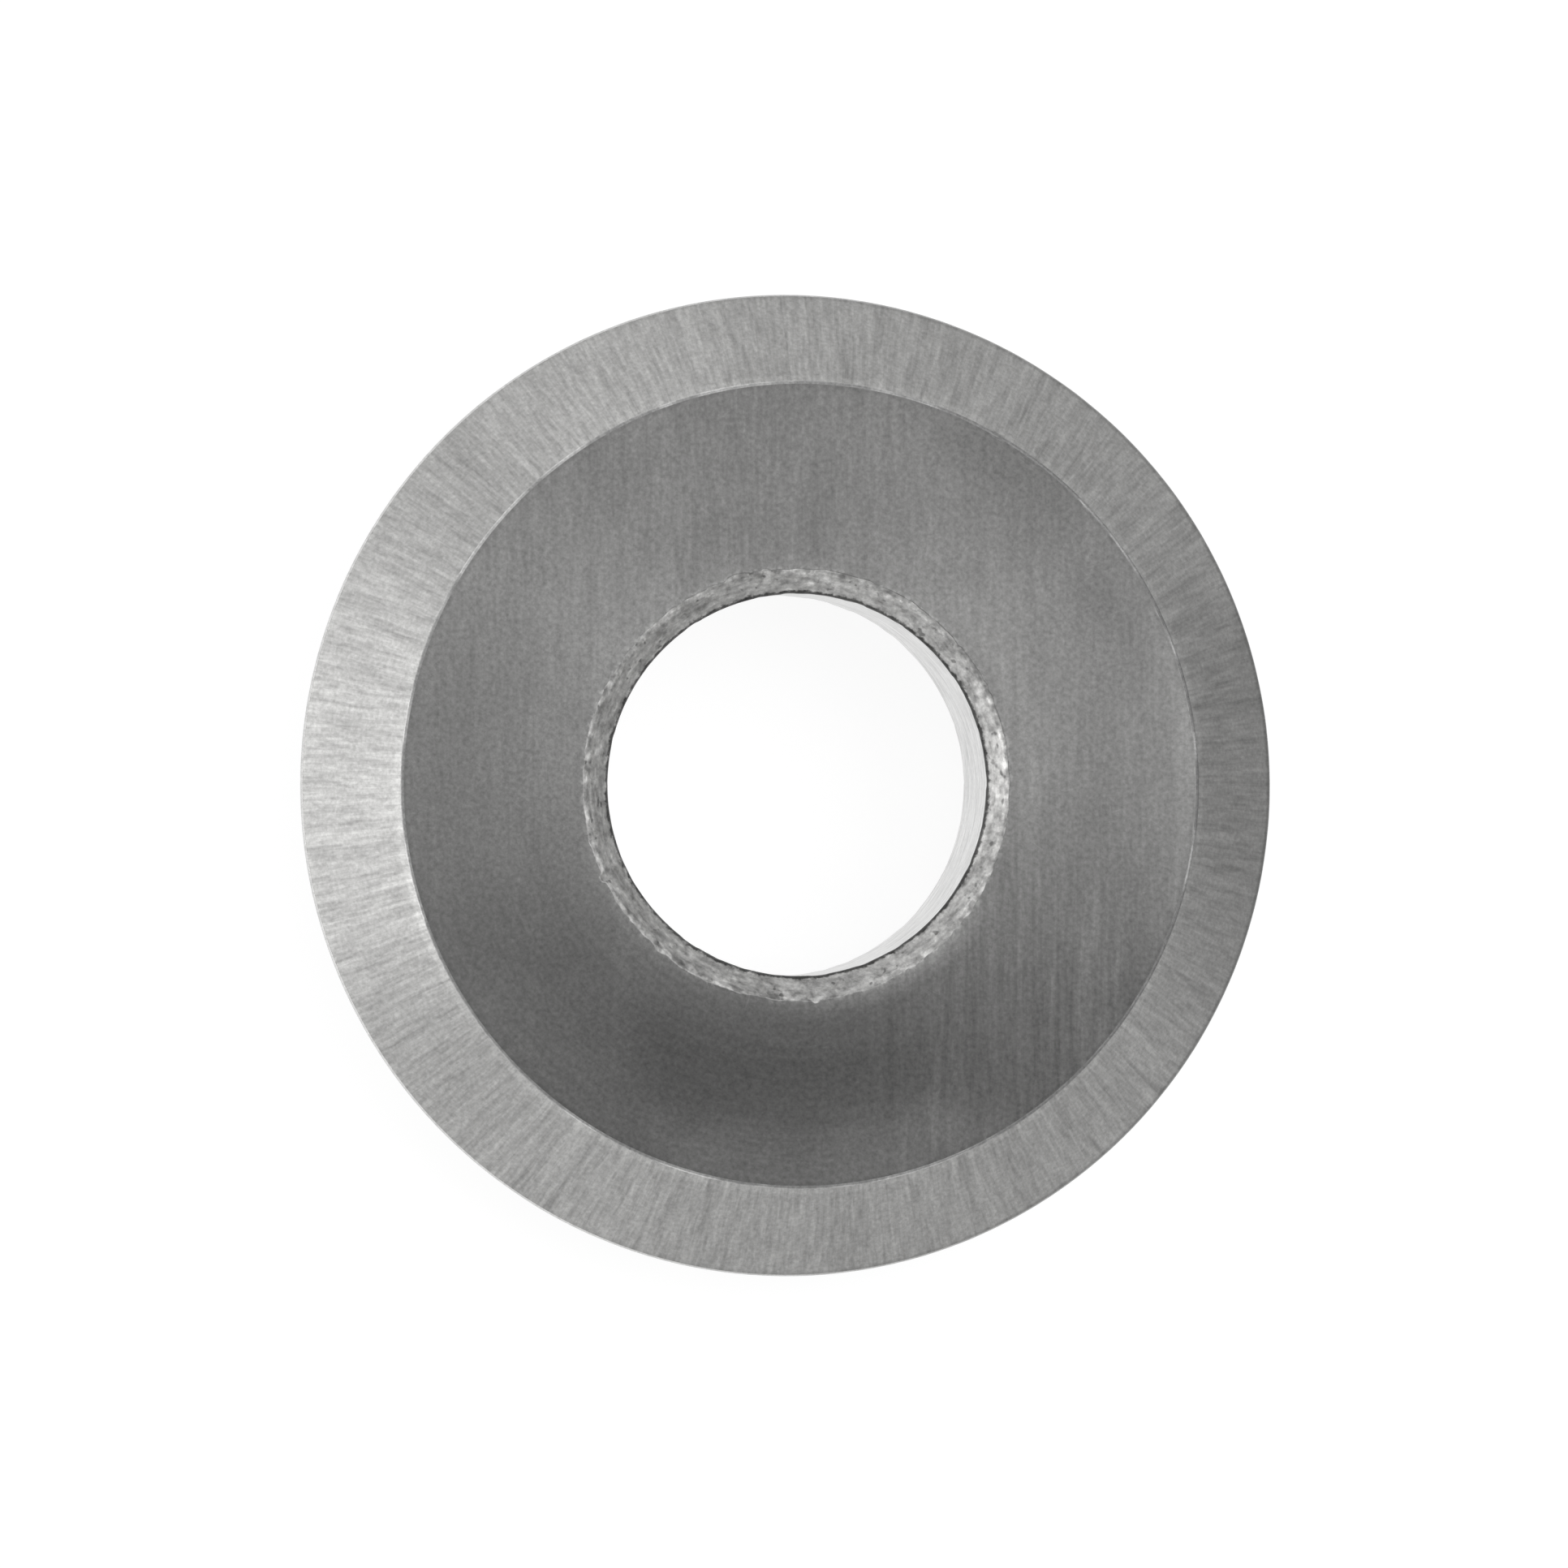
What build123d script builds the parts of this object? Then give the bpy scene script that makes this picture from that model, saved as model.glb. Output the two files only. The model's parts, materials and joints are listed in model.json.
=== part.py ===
"""Scoring wheel for a tile cutter: one piece of sintered and ground tungsten carbide.

Millimetres. The origin is the wheel's centre: on the bore's axis, in the plane of the cutting edge.
+Z runs along the axis, so the wheel lies flat on the side at z = -thickness / 2.
"""

import os
from math import radians, sin, tan

from build123d import *

# Driving sizes
wheel_diameter = 16.0  # over the honed cutting edge
thickness = 3.0  # between the two ground sides
bore_diameter = 6.2  # a 6 mm axle with 0.1 mm of running clearance all round
edge_angle = 90.0  # degrees between the two bevels
edge_radius = 0.1  # honed tip of the V
bore_chamfer = 0.36  # 45 degree lead-in, the same along the axis and across it
shoulder_radius = 0.05  # where a bevel meets a side
chamfer_lip_radius = 0.05  # where a chamfer meets a side
bore_break_radius = 0.12  # where a chamfer runs into the bore's wall

# Worked out from them, as radii and as a height above the edge's plane
half_edge_angle = radians(edge_angle / 2)
side_height = thickness / 2
bore_radius = bore_diameter / 2
chamfer_reach = bore_radius + bore_chamfer
sharp_tip_reach = wheel_diameter / 2 + edge_radius * (1 / sin(half_edge_angle) - 1)
shoulder_reach = sharp_tip_reach - side_height / tan(half_edge_angle)

with BuildPart() as cutter_wheel:
    with BuildSketch(Plane.XZ) as section:
        # Upper half of the section, from the bore wall out to the tip, then its mirror image
        with BuildLine():
            Polyline(
                (bore_radius, 0),
                (bore_radius, side_height - bore_chamfer),
                (chamfer_reach, side_height),
                (shoulder_reach, side_height),
                (sharp_tip_reach, 0),
            )
            mirror(about=Plane.XZ)
        make_face()

        # Each corner is rounded where its own two surfaces meet, above and below the edge's plane
        for corner_reach, corner_radius in (
            (sharp_tip_reach, edge_radius),
            (shoulder_reach, shoulder_radius),
            (chamfer_reach, chamfer_lip_radius),
            (bore_radius, bore_break_radius),
        ):
            corners = section.vertices().filter_by(lambda corner: abs(corner.X - corner_reach) < 1e-6)
            fillet(corners, radius=corner_radius)

    revolve(axis=Axis.Z)

cutter_wheel.part.label = "cutter_wheel"

os.makedirs("parts", exist_ok=True)
export_step(cutter_wheel.part, "parts/cutter_wheel.step")
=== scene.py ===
"""Looks of a tile cutter's scoring wheel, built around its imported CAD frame.

The wheel is one piece of tungsten carbide. It was pressed and sintered with its chamfers, so they
are grainy, ragged at the lip and a little off the bore's axis. Its sides, bevels and bore were
ground afterwards, and its cutting edge was honed.

Blender's unit is the metre. The wheel is shaped in millimetres and brought to metres at the end,
because the tolerances of the bmesh operators suit numbers of that size.
"""

import json
from math import atan2, ceil, cos, exp, hypot, pi, radians, sin, tan

import bmesh
import bpy
from bpy.props import FloatProperty, FloatVectorProperty, IntProperty, PointerProperty
from mathutils import Matrix, Vector, noise


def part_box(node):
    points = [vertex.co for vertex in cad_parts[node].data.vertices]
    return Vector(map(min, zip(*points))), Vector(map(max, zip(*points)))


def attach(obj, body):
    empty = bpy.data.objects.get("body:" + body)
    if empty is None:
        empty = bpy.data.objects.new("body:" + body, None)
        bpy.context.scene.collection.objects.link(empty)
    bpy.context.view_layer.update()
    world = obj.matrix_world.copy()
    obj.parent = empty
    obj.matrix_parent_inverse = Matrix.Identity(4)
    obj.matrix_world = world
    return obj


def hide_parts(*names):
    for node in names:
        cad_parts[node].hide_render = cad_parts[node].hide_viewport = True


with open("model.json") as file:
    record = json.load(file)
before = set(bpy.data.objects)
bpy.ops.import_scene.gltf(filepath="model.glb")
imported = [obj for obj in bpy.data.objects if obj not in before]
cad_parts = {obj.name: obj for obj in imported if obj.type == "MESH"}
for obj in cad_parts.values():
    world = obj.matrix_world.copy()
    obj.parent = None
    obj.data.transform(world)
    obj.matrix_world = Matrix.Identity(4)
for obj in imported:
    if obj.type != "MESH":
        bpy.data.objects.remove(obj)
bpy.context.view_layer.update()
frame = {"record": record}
CAD_NODE = "cutter_wheel"
NODE_LOW, NODE_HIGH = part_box(CAD_NODE)
NODE_REACH = min(-NODE_LOW.x, NODE_HIGH.x, -NODE_LOW.y, NODE_HIGH.y)
BORE = next(mount for mount in frame["record"]["mounts"] if mount["kind"] == "bore")

MM = 0.001
PHOTO_SIDE = 1932  # pixels of the photograph, which is square

bl_info = {
    "name": "Scoring Wheel",
    "version": (1, 0, 0),
    "blender": (4, 5, 0),
    "location": "3D View > Sidebar > Scoring Wheel",
    "description": "Builds a tile cutter's scoring wheel with its finishes, and a plain studio",
    "category": "Add Mesh",
}


# Properties

class WheelShape(bpy.types.PropertyGroup):
    """Sizes of the wheel's section, and of what sintering and use have left on it."""

    diameter: FloatProperty(
        name="Diameter", description="Over the honed cutting edge",
        default=2 * NODE_REACH, min=4 * MM, unit="LENGTH")
    thickness: FloatProperty(
        name="Thickness", description="Between the two ground sides",
        default=NODE_HIGH.z - NODE_LOW.z, min=1 * MM, unit="LENGTH")
    bore_diameter: FloatProperty(
        name="Bore", description="Diameter of the ground bore",
        default=2 * BORE["dims"]["r_mm"] * MM, min=1 * MM, unit="LENGTH")
    edge_angle: FloatProperty(
        name="Edge Angle", description="Between the two bevels",
        default=radians(90), min=radians(40), max=radians(150), subtype="ANGLE")
    edge_radius: FloatProperty(
        name="Edge Radius", description="Radius of the honed tip",
        default=0.1 * MM, min=0.01 * MM, unit="LENGTH")
    shoulder_radius: FloatProperty(
        name="Shoulder Radius", description="Where a bevel meets a side",
        default=0.07 * MM, min=0.01 * MM, unit="LENGTH")
    chamfer: FloatProperty(
        name="Chamfer", description="Height and width of a sintered chamfer",
        default=0.36 * MM, min=0.1 * MM, unit="LENGTH")
    lip_radius: FloatProperty(
        name="Lip Radius", description="Where a chamfer meets a side",
        default=0.11 * MM, min=0.01 * MM, unit="LENGTH")
    bore_break: FloatProperty(
        name="Bore Break", description="Radius where a chamfer runs into the bore's wall",
        default=0.12 * MM, min=0.01 * MM, unit="LENGTH")
    chamfer_offset: FloatProperty(
        name="Chamfer Offset", description="How far the sintered chamfers lie off the bore's axis",
        default=0.067 * MM, min=0.0, unit="LENGTH")
    lip_wander: FloatProperty(
        name="Lip Wander", description="How far a chamfer's lip strays from its circle",
        default=0.03 * MM, min=0.0, unit="LENGTH")
    grain_relief: FloatProperty(
        name="Grain Relief", description="Height of the sintered grain on the chamfers",
        default=0.012 * MM, min=0.0, unit="LENGTH")
    shoulder_chips: FloatProperty(
        name="Shoulder Chips", description="Depth of the tiny chips along the shoulders",
        default=0.014 * MM, min=0.0, unit="LENGTH")
    edge_wear: FloatProperty(
        name="Edge Wear", description="Depth of the small flats worn into the honed tip",
        default=0.008 * MM, min=0.0, unit="LENGTH")
    steps: IntProperty(
        name="Steps", description="Faces round the wheel, a multiple of 24",
        default=1128, min=96, max=1200, step=24)


class WheelFinish(bpy.types.PropertyGroup):
    """Colours of the wheel's surfaces, before their patterns."""

    bevel_tone: FloatVectorProperty(
        name="Bevel", description="Ground bevels",
        default=(0.275, 0.274, 0.269), min=0.0, max=1.0, subtype="COLOR")
    side_tone: FloatVectorProperty(
        name="Side", description="Dull ground sides",
        default=(0.226, 0.225, 0.222), min=0.0, max=1.0, subtype="COLOR")
    sintered_tone: FloatVectorProperty(
        name="Sintered", description="Chamfers as they came out of the furnace",
        default=(0.395, 0.393, 0.387), min=0.0, max=1.0, subtype="COLOR")
    bore_tone: FloatVectorProperty(
        name="Bore", description="Ground wall of the bore",
        default=(0.655, 0.654, 0.649), min=0.0, max=1.0, subtype="COLOR")
    honed_tone: FloatVectorProperty(
        name="Honed", description="Honed tip and shoulders",
        default=(0.42, 0.419, 0.415), min=0.0, max=1.0, subtype="COLOR")


class WheelStudio(bpy.types.PropertyGroup):
    """The camera, fitted to the photograph, and the plain floor."""

    camera_distance: FloatProperty(
        name="Camera Distance", description="From the wheel's centre",
        default=400 * MM, min=50 * MM, unit="LENGTH")
    camera_tilt: FloatProperty(
        name="Camera Tilt", description="Between the wheel's axis and the line to the camera",
        default=radians(8.995), subtype="ANGLE")
    camera_turn: FloatProperty(
        name="Camera Turn", description="Where the camera leans to, from -X towards -Y",
        default=radians(2.89), subtype="ANGLE")
    pixels_per_mm: FloatProperty(
        name="Pixels per Millimetre", description="Scale of the photograph at the wheel's centre",
        default=75.67, min=1.0)
    centre_pixel: FloatVectorProperty(
        name="Centre Pixel", description="Where the wheel's centre lies in the photograph",
        default=(969.06, 967.77), size=2)
    floor_radius: FloatProperty(
        name="Floor Radius", description="Radius of the plain floor",
        default=600 * MM, min=50 * MM, unit="LENGTH")
    floor_tone: FloatVectorProperty(
        name="Floor", description="Colour of the plain floor",
        default=(0.8, 0.8, 0.8), min=0.0, max=1.0, subtype="COLOR")


# The wheel's section

CHAMFER_ANGLE = radians(45)
CHAMFER_PLACE = "chamfer_place"  # vertex attribute, 0 at the bore's wall and 1 at the chamfer's lip
ROUND_SEGMENTS = {"tip": 6, "shoulder": 3, "lip": 3, "break": 3}
GUARDS = (0.015, 0.035)  # mm from a rounded corner to the first two cuts of a straight run
LONGEST_RUN = {"wall": 1.1, "chamfer": 0.034, "side": 1.0, "bevel": 0.7}  # mm between cuts
SHORTEST_RUN = 0.2  # mm, above the length of any cut of a rounded corner
SECTORS = 24  # the wheel is turned as this many equal sectors, which is quicker than in one go
MERGE_DISTANCE = 0.0005  # mm


class Section:
    """The wheel's section in millimetres: reach is the radius, height is from the edge's plane."""

    def __init__(self, shape):
        half_edge = shape.edge_angle / 2
        self.side_height = shape.thickness / 2 / MM
        self.chamfer = shape.chamfer / MM
        self.bore_reach = shape.bore_diameter / 2 / MM
        self.lip_reach = self.bore_reach + self.chamfer
        self.edge_radius = shape.edge_radius / MM
        self.shoulder_radius = shape.shoulder_radius / MM
        self.lip_radius = shape.lip_radius / MM
        self.bore_break = shape.bore_break / MM
        self.tip_reach = shape.diameter / 2 / MM + self.edge_radius * (1 / sin(half_edge) - 1)
        self.shoulder_reach = self.tip_reach - self.side_height / tan(half_edge)

        # Where each straight run ends and the rounding of its corner starts
        shoulder_trim = self.shoulder_radius * tan((pi / 2 - half_edge) / 2)
        self.wall_end = self.side_height - self.chamfer - self.bore_break * tan(CHAMFER_ANGLE / 2)
        self.side_start = self.lip_reach + self.lip_radius * tan(CHAMFER_ANGLE / 2)
        self.side_end = self.shoulder_reach - shoulder_trim
        self.bevel_start = self.shoulder_reach + shoulder_trim * sin(half_edge)
        self.bevel_end = self.tip_reach - self.edge_radius * cos(half_edge)

    def zone(self, reach, height):
        """The finish of a face whose middle lies at this radius and height."""
        if reach < self.lip_reach and abs(height) < self.wall_end:
            return "bore"
        if reach < self.side_start:
            return "sintered"
        if reach < self.side_end:
            return "side"
        if reach < self.bevel_start:
            return "shoulder"
        return "bevel" if reach < self.bevel_end else "tip"

    def wire(self, bm):
        """The closed section in the XZ plane, with its corners rounded and its straight runs cut."""
        lip, shoulder = self.lip_reach, self.shoulder_reach
        side, wall = self.side_height, self.side_height - self.chamfer
        corners = (
            (self.bore_reach, -wall, self.bore_break, "break"),
            (lip, -side, self.lip_radius, "lip"),
            (shoulder, -side, self.shoulder_radius, "shoulder"),
            (self.tip_reach, 0, self.edge_radius, "tip"),
            (shoulder, side, self.shoulder_radius, "shoulder"),
            (lip, side, self.lip_radius, "lip"),
            (self.bore_reach, wall, self.bore_break, "break"),
        )
        verts = [bm.verts.new((reach, 0, height)) for reach, height, _, _ in corners]
        for vert, following in zip(verts, verts[1:] + verts[:1]):
            bm.edges.new((vert, following))
        for vert, (_, _, radius, name) in zip(verts, corners):
            round_corner(bm, vert, radius, ROUND_SEGMENTS[name])
        for run in [edge for edge in bm.edges if edge.calc_length() > SHORTEST_RUN]:
            name = self.run_name(run)
            cut_run(bm, run, LONGEST_RUN[name], guarded=name != "chamfer")

    def run_name(self, run):
        """Which straight run of the section an edge is."""
        middle = (run.verts[0].co + run.verts[1].co) / 2
        if middle.x < self.bore_reach + GUARDS[0]:
            return "wall"
        if middle.x < self.lip_reach:
            return "chamfer"
        return "side" if middle.x < self.shoulder_reach else "bevel"


def round_corner(bm, corner, radius, segments):
    """Rounds a corner of the wire so that it is tangent to both of its runs."""
    before, after = (edge.other_vert(corner).co - corner.co for edge in corner.link_edges)
    turn = pi - before.angle(after)
    bmesh.ops.bevel(
        bm, geom=[corner], offset=radius * tan(turn / 2), offset_type="OFFSET",
        affect="VERTICES", segments=segments, profile=0.5, material=-1)


def turn_wheel(bm, steps):
    """Turns the wire round the axis into one sector, and the sector into the whole wheel."""
    sector_steps = steps // SECTORS
    sector_angle = 2 * pi / SECTORS
    spin(bm, bm.verts[:] + bm.edges[:], sector_angle, sector_steps, copies=False)
    spin(bm, bm.verts[:] + bm.edges[:] + bm.faces[:], 2 * pi - sector_angle, SECTORS - 1, copies=True)
    bmesh.ops.remove_doubles(bm, verts=bm.verts[:], dist=MERGE_DISTANCE)


def spin(bm, geometry, angle, steps, copies):
    """Spins geometry about the wheel's axis, as a swept surface or as copies."""
    bmesh.ops.spin(
        bm, geom=geometry, cent=(0, 0, 0), axis=(0, 0, 1), dvec=(0, 0, 0), angle=angle, steps=steps,
        space=Matrix.Identity(4), use_merge=False, use_normal_flip=False, use_duplicate=copies)


def cut_run(bm, run, spacing, guarded):
    """Cuts a straight run twice near both its ends, so that smooth shading leaves it flat, and then
    every spacing or less."""
    if guarded:
        for end in tuple(run.verts):
            _, near = bmesh.utils.edge_split(run, end, GUARDS[0] / run.calc_length())
            bmesh.utils.edge_split(run, near, (GUARDS[1] - GUARDS[0]) / run.calc_length())
    cuts = ceil(run.calc_length() / spacing) - 1
    bmesh.ops.subdivide_edges(bm, edges=[run], cuts=cuts)


# What sintering, grinding and use did to the wheel

# Lengths are in millimetres. Waves are pairs of how many there are per millimetre, and their share.
LIP_WAVES = ((1.9, 0.45), (5.5, 0.35), (11.0, 0.2))
BREAK_WAVES = ((1.3, 0.3), (4.2, 0.4), (9.0, 0.3))
GRAIN_WAVES = ((3.5, 0.35), (7.0, 0.4), (12.0, 0.25))
EDGE_WAVES = ((0.35, 0.5), (1.4, 0.3), (6.0, 0.2))
WAVE_GAIN = 1.6  # brings the sum of such waves to about -1 to 1

# Where the noise starts on the upper face, 1, and on the lower one, -1, so that they differ
CHAMFER_SEEDS = {1: Vector((3.1, 0.0, 7.7)), -1: Vector((11.3, 5.9, 2.6))}
SHOULDER_SEEDS = {1: 4.0, -1: -9.0}
BREAK_SEED = Vector((0, 0, 20))
BREAK_CHIP_SEED = Vector((9, 4, 1))

DRIFT_ANGLES = {1: pi, -1: radians(64)}  # which way each chamfer lies off the axis
LIP_HOLD = 0.05  # how far into the side the vertices follow the lip's wander
RAGGED_BREAK = 0.006  # how far the edge of the bore strays from its circle
GRAIN_FADE = 0.05  # width of the lip over which the grain dies out
GRAIN_SINK = 0.6  # keeps the grain below the ground side
GRAIN_AT_BORE = 0.25  # where the grain's rise from 0 to 1 starts, at the bore's wall
GRAIN_RISE = 6.0  # how much it rises over the whole chamfer, so that it is full early on
FULL_WEAR = 0.5  # share of the way to the sharp tip at which the flats have their full depth

# Chips in the edge of the bore
BREAK_CHIP_WIDTH = 0.16  # to both sides of the corner, and of full depth in the inner half
BREAK_CHIP_DEPTH = 0.01
BREAK_CHIP_WAVES = 2.9
BREAK_CHIP_RARITY = 0.15
BREAK_CHIP_RISE = 0.4  # how much more noise than that a chip of full depth takes

# Chips along the shoulders
SHOULDER_CHIP_WIDTH = 2  # counted in radii of the shoulder
SHOULDER_CHIP_WAVES = 2.3
SHOULDER_CHIP_RARITY = 0.42
SHOULDER_MARGIN = 0.0001  # takes in the vertices at both ends of the shoulder's rounding

# Chips in the upper lip: angle from +X, half width along the lip, how far they reach into the side
LIP_CHIPS = (
    (radians(-155.0), 0.075, 0.06),
    (radians(-86.0), 0.055, 0.045),
    (radians(107.5), 0.17, 0.05),
    (radians(99.5), 0.06, 0.035),
    (radians(-131.0), 0.09, 0.03),
    (radians(-37.0), 0.07, 0.022),
    (radians(28.0), 0.06, 0.025),
)
LIP_CHIP_START = 0.45  # share of the chamfer from which they begin
LIP_CHIP_POWER = 4  # the higher, the squarer their outline


def waves(point, parts):
    """Smooth noise between about -1 and 1, the sum of several wavelengths."""
    return WAVE_GAIN * sum(share * noise.noise(point * rate) for rate, share in parts)


def clamped(value):
    """The value, but not below 0 or above 1."""
    return min(max(value, 0.0), 1.0)


def eased(value):
    """A smooth step from 0 to 1 as the value goes from 0 to 1."""
    value = clamped(value)
    return value * value * (3 - 2 * value)


def angle_between(angle, other):
    """The shorter way round from one angle to another."""
    return (angle - other + pi) % (2 * pi) - pi


def face_of(vert):
    """1 for a vertex of the upper half, and -1 for one of the lower half."""
    return 1 if vert.co.z > 0 else -1


class Weathering:
    """Moves the vertices of the plain turned wheel to where sintering and use have left them."""

    def __init__(self, section, shape):
        self.section = section
        self.offset = shape.chamfer_offset / MM
        self.wander = shape.lip_wander / MM
        self.relief = shape.grain_relief / MM
        self.chips = shape.shoulder_chips / MM
        self.wear = shape.edge_wear / MM

    def apply(self, bm):
        """Moves every vertex of the wheel, and notes where it lies on the chamfer."""
        section = self.section
        shoulder_low = section.side_end - SHOULDER_MARGIN
        shoulder_high = section.bevel_start + SHOULDER_MARGIN
        place = bm.verts.layers.float.new(CHAMFER_PLACE)
        for vert in bm.verts:
            reach = hypot(vert.co.x, vert.co.y)
            outwards = Vector((vert.co.x / reach, vert.co.y / reach, 0))
            vert[place] = (reach - section.bore_reach) / section.chamfer
            if reach < section.side_start + LIP_HOLD:
                self.move_chamfer(vert, reach, outwards)
            elif reach > section.bevel_end:
                self.wear_tip(vert, reach, outwards)
            elif shoulder_low < reach < shoulder_high:
                self.chip_shoulder(vert, reach, outwards)

    def move_chamfer(self, vert, reach, outwards):
        """Shifts the chamfer off the axis, makes its lip ragged and gives it its sintered grain."""
        section = self.section
        face = face_of(vert)
        height = abs(vert.co.z)
        along = clamped((reach - section.bore_reach) / section.chamfer)
        up_wall = min(height / section.wall_end, 1.0)
        ring = outwards * section.lip_reach + CHAMFER_SEEDS[face]

        shift = self.chamfer_shift(ring, face, outwards, along)
        vert.co += outwards * (along * shift)
        vert.co.z -= face * (1 - along) * shift * up_wall
        vert.co += outwards * self.break_chip(ring, reach, height)
        if section.bore_reach < reach < section.side_start:
            from_bore = eased(GRAIN_AT_BORE + along * GRAIN_RISE)
            from_lip = eased((section.side_start - reach) / GRAIN_FADE)
            grain = waves(vert.co + CHAMFER_SEEDS[face], GRAIN_WAVES) - GRAIN_SINK
            vert.co += (Vector((0, 0, face)) - outwards) * (self.relief * grain * from_bore * from_lip)

    def chamfer_shift(self, ring, face, outwards, along):
        """How far the chamfer lies outwards here, because it is off the axis, ragged and chipped."""
        drift = Vector((cos(DRIFT_ANGLES[face]), sin(DRIFT_ANGLES[face]), 0))
        shift = self.offset * outwards.dot(drift)
        lip_shift = shift + self.wander * waves(ring, LIP_WAVES)
        break_shift = shift + RAGGED_BREAK * waves(ring + BREAK_SEED, BREAK_WAVES)
        shift = break_shift + (lip_shift - break_shift) * along
        if face > 0:
            shift += self.lip_chip(outwards) * eased((along - LIP_CHIP_START) / (1 - LIP_CHIP_START))
        return shift

    def break_chip(self, ring, reach, height):
        """How deep the edge of the bore is chipped here."""
        section = self.section
        corner = hypot(reach - section.bore_reach, height - (section.side_height - section.chamfer))
        if corner > BREAK_CHIP_WIDTH:
            return 0.0
        rise = noise.noise((ring + BREAK_CHIP_SEED) * BREAK_CHIP_WAVES) - BREAK_CHIP_RARITY
        near = eased(2 - 2 * corner / BREAK_CHIP_WIDTH)
        return BREAK_CHIP_DEPTH * eased(rise / BREAK_CHIP_RISE) * near

    def lip_chip(self, outwards):
        """How far the few large chips of the upper lip reach into the side here."""
        angle = atan2(outwards.y, outwards.x)
        chip = 0.0
        for middle, half_width, depth in LIP_CHIPS:
            distance = angle_between(angle, middle) * self.section.lip_reach / half_width
            chip += depth * exp(-distance ** LIP_CHIP_POWER)
        return chip

    def wear_tip(self, vert, reach, outwards):
        """Wears small flats into the honed tip."""
        section = self.section
        ring = Vector((vert.co.x, vert.co.y, 0))
        depth = self.wear * clamped((1 + waves(ring, EDGE_WAVES)) / 2)
        share = (reach - section.bevel_end) / (section.tip_reach - section.bevel_end)
        vert.co -= outwards * (depth * eased(share / FULL_WEAR))

    def chip_shoulder(self, vert, reach, outwards):
        """Knocks tiny chips out of the shoulder."""
        section = self.section
        face = face_of(vert)
        near = 1 - abs(reach - section.shoulder_reach) / (SHOULDER_CHIP_WIDTH * section.shoulder_radius)
        ring = Vector((vert.co.x, vert.co.y, SHOULDER_SEEDS[face]))
        rise = noise.noise(ring * SHOULDER_CHIP_WAVES) - SHOULDER_CHIP_RARITY
        chip = max(rise, 0.0) / (1 - SHOULDER_CHIP_RARITY)
        vert.co -= (outwards + Vector((0, 0, face))) * (self.chips * eased(near) * chip)


# Shader nodes

ORIGIN = (0.0, 0.0, 0.0)
X_AXIS = (1.0, 0.0, 0.0)
NOISE_MIDDLE = 0.5
COLUMN_WIDTH, ROW_HEIGHT = 220, 200  # of the node editor, in which the trees are laid out


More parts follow.
